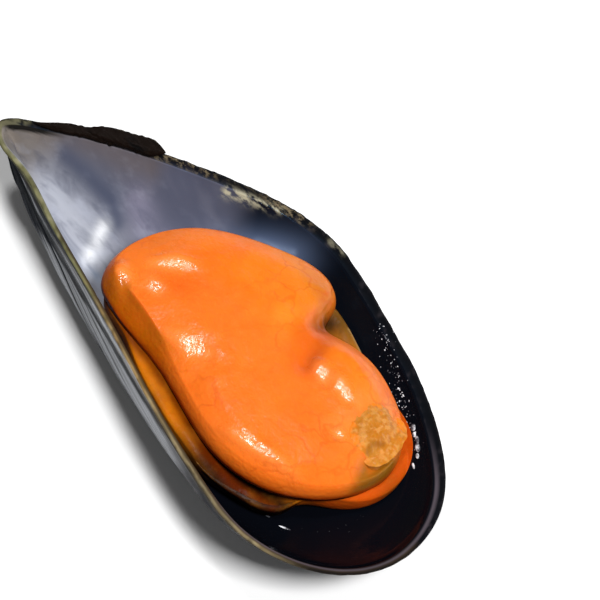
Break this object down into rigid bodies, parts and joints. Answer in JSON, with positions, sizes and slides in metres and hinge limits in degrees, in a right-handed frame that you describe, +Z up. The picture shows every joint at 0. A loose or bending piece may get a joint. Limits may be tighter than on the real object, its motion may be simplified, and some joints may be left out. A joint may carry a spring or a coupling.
{
  "type": "mussel shell",
  "caption": "One valve of a mussel, hollow side up, with its hinge ligament and the cooked meat lying in it; rests on its outer side",
  "frame": {"origin": "bottom centre of the bounding box, on the surface that the valve rests on", "axes": "+X from the beak to the rear end, +Y to the hinge side, +Z up"},
  "size_m": [0.07, 0.0318, 0.0174],
  "materials": {
    "shell": "gloss",
    "ligament": "matte",
    "upper_mantle": "gloss",
    "lower_mantle": "gloss",
    "muscle": "satin"
  },
  "bodies": {
    "root": {"valve": "shell", "hinge_ligament": "ligament", "lower_mantle_lobe": "lower_mantle", "upper_mantle_lobe": "upper_mantle", "adductor_muscle": "muscle"}
  },
  "joints": []
}
